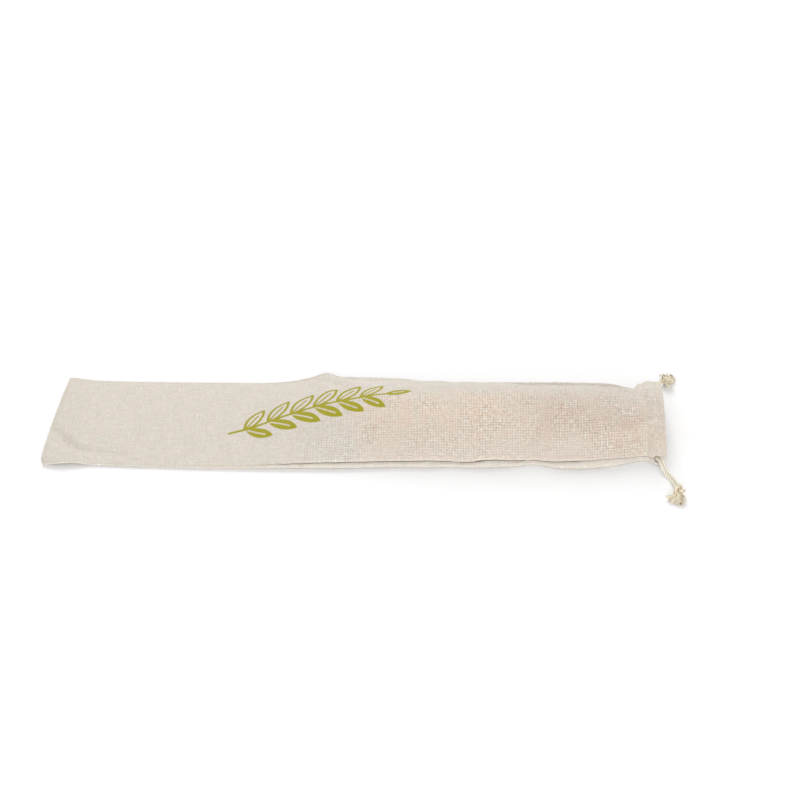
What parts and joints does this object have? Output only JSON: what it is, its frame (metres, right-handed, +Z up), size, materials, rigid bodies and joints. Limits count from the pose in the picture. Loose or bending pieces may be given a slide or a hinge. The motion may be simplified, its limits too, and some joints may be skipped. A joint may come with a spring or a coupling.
{
  "type": "drawstring produce bag",
  "caption": "Long narrow drawstring bag of plain linen, lying on its back panel with its hollow open to a hemmed mouth and knotted drawcords at both sides",
  "frame": {"origin": "on the surface the bag lies on, under the middle of the two panels' outline", "axes": "+X from the closed end to the mouth, +Y from the near side to the far side, +Z up from the back panel"},
  "size_m": [0.694, 0.2314, 0.0505],
  "materials": {
    "linen_cloth": "plain weave, matte, unbleached",
    "cotton_cord": "twisted yarn, matte"
  },
  "bodies": {
    "root": {"upper_panel": "linen_cloth", "lower_panel": "linen_cloth", "near_cord_a": "cotton_cord", "near_cord_b": "cotton_cord", "near_knot": "cotton_cord", "far_cord_a": "cotton_cord", "far_cord_b": "cotton_cord", "far_knot": "cotton_cord"}
  },
  "joints": []
}
